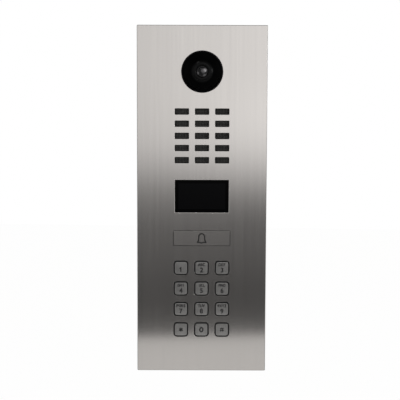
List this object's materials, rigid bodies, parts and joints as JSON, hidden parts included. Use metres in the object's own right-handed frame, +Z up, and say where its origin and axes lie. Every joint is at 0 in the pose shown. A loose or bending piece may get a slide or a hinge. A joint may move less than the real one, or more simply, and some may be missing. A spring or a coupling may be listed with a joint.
{
  "type": "door intercom panel",
  "caption": "Flush door intercom: brushed steel front with camera eye, speaker slots, sensor window, call button and number keys, over sealed electronics in an in-wall box.",
  "frame": {"origin": "centre of the in-wall box's flat rear face", "axes": "+Z up the panel, +Y into the wall so that the front faces -Y, +X to the right of someone who stands before it"},
  "size_m": [0.12, 0.0674, 0.322],
  "materials": {
    "steel": "brushed up and down",
    "key": "satin",
    "zinc": "zinc plated",
    "screw": "plain",
    "anodised": "black anodised",
    "black": "polished black",
    "window": "polished black",
    "glass": "coated lens",
    "mesh": "black woven wire",
    "rubber": "matt",
    "foam": "closed-cell foam",
    "paper": "coated paper",
    "board": "solder resist",
    "ribbon": "flat cable",
    "yellow": "taped winding",
    "green": "moulded"
  },
  "bodies": {
    "housing": {"back_box": "zinc", "cable_grommet": "rubber", "camera_board": "board", "camera_cable": "ribbon", "camera_dome": "black", "camera_holder": "black", "camera_lock_ring": "black", "camera_seal": "rubber", "capacitor": "anodised", "cover_gasket": "foam", "cover_screw_1": "screw", "cover_screw_2": "screw", "cover_screw_3": "screw", "cover_screw_4": "screw", "front_panel": "steel", "hanger_rail": "zinc", "heat_sink": "anodised", "keypad_backplate": "zinc", "keypad_board": "board", "keypad_cable": "ribbon", "keypad_mat": "rubber", "keypad_screw_1": "screw", "keypad_screw_2": "screw", "keypad_screw_3": "screw", "keypad_screw_4": "screw", "lens_barrel": "black", "lens_glass": "glass", "main_board": "board", "microphone": "anodised", "microphone_boot": "rubber", "motion_sensor": "zinc", "network_jack": "zinc", "reader_board": "board", "rear_cover": "black", "relay": "black", "security_screw_left": "screw", "security_screw_right": "screw", "sensor_window": "window", "speaker_basket": "anodised", "speaker_gasket": "foam", "speaker_magnet": "zinc", "speaker_mesh": "mesh", "terminal_block": "green", "transformer": "yellow", "wall_seal": "rubber", "window_seal": "foam"},
    "key_1": {"key_1": "key"},
    "key_2": {"key_2": "key"},
    "key_3": {"key_3": "key"},
    "key_4": {"key_4": "key"},
    "key_5": {"key_5": "key"},
    "key_6": {"key_6": "key"},
    "key_7": {"key_7": "key"},
    "key_8": {"key_8": "key"},
    "key_9": {"key_9": "key"},
    "key_star": {"key_star": "key"},
    "key_0": {"key_0": "key"},
    "key_hash": {"key_hash": "key"},
    "call_button": {"call_button": "steel"},
    "speaker_cone": {"speaker_cone": "paper"}
  },
  "joints": [
    {"name": "key_1_press", "type": "slide", "parent": "housing", "child": "key_1", "axis": [0, 1, 0], "range_m": [0, 0.0008], "stiffness_N_per_m": 1500, "deforming": ["keypad_mat"]},
    {"name": "key_2_press", "type": "slide", "parent": "housing", "child": "key_2", "axis": [0, 1, 0], "range_m": [0, 0.0008], "stiffness_N_per_m": 1500, "deforming": ["keypad_mat"]},
    {"name": "key_3_press", "type": "slide", "parent": "housing", "child": "key_3", "axis": [0, 1, 0], "range_m": [0, 0.0008], "stiffness_N_per_m": 1500, "deforming": ["keypad_mat"]},
    {"name": "key_4_press", "type": "slide", "parent": "housing", "child": "key_4", "axis": [0, 1, 0], "range_m": [0, 0.0008], "stiffness_N_per_m": 1500, "deforming": ["keypad_mat"]},
    {"name": "key_5_press", "type": "slide", "parent": "housing", "child": "key_5", "axis": [0, 1, 0], "range_m": [0, 0.0008], "stiffness_N_per_m": 1500, "deforming": ["keypad_mat"]},
    {"name": "key_6_press", "type": "slide", "parent": "housing", "child": "key_6", "axis": [0, 1, 0], "range_m": [0, 0.0008], "stiffness_N_per_m": 1500, "deforming": ["keypad_mat"]},
    {"name": "key_7_press", "type": "slide", "parent": "housing", "child": "key_7", "axis": [0, 1, 0], "range_m": [0, 0.0008], "stiffness_N_per_m": 1500, "deforming": ["keypad_mat"]},
    {"name": "key_8_press", "type": "slide", "parent": "housing", "child": "key_8", "axis": [0, 1, 0], "range_m": [0, 0.0008], "stiffness_N_per_m": 1500, "deforming": ["keypad_mat"]},
    {"name": "key_9_press", "type": "slide", "parent": "housing", "child": "key_9", "axis": [0, 1, 0], "range_m": [0, 0.0008], "stiffness_N_per_m": 1500, "deforming": ["keypad_mat"]},
    {"name": "key_star_press", "type": "slide", "parent": "housing", "child": "key_star", "axis": [0, 1, 0], "range_m": [0, 0.0008], "stiffness_N_per_m": 1500, "deforming": ["keypad_mat"]},
    {"name": "key_0_press", "type": "slide", "parent": "housing", "child": "key_0", "axis": [0, 1, 0], "range_m": [0, 0.0008], "stiffness_N_per_m": 1500, "deforming": ["keypad_mat"]},
    {"name": "key_hash_press", "type": "slide", "parent": "housing", "child": "key_hash", "axis": [0, 1, 0], "range_m": [0, 0.0008], "stiffness_N_per_m": 1500, "deforming": ["keypad_mat"]},
    {"name": "call_button_press", "type": "slide", "parent": "housing", "child": "call_button", "axis": [0, 1, 0], "range_m": [0, 0.0008], "stiffness_N_per_m": 3000, "deforming": ["keypad_mat"]},
    {"name": "speaker_cone_travel", "type": "slide", "parent": "housing", "child": "speaker_cone", "axis": [0, 1, 0], "range_m": [-0.0005, 0.0005], "stiffness_N_per_m": 1500}
  ]
}
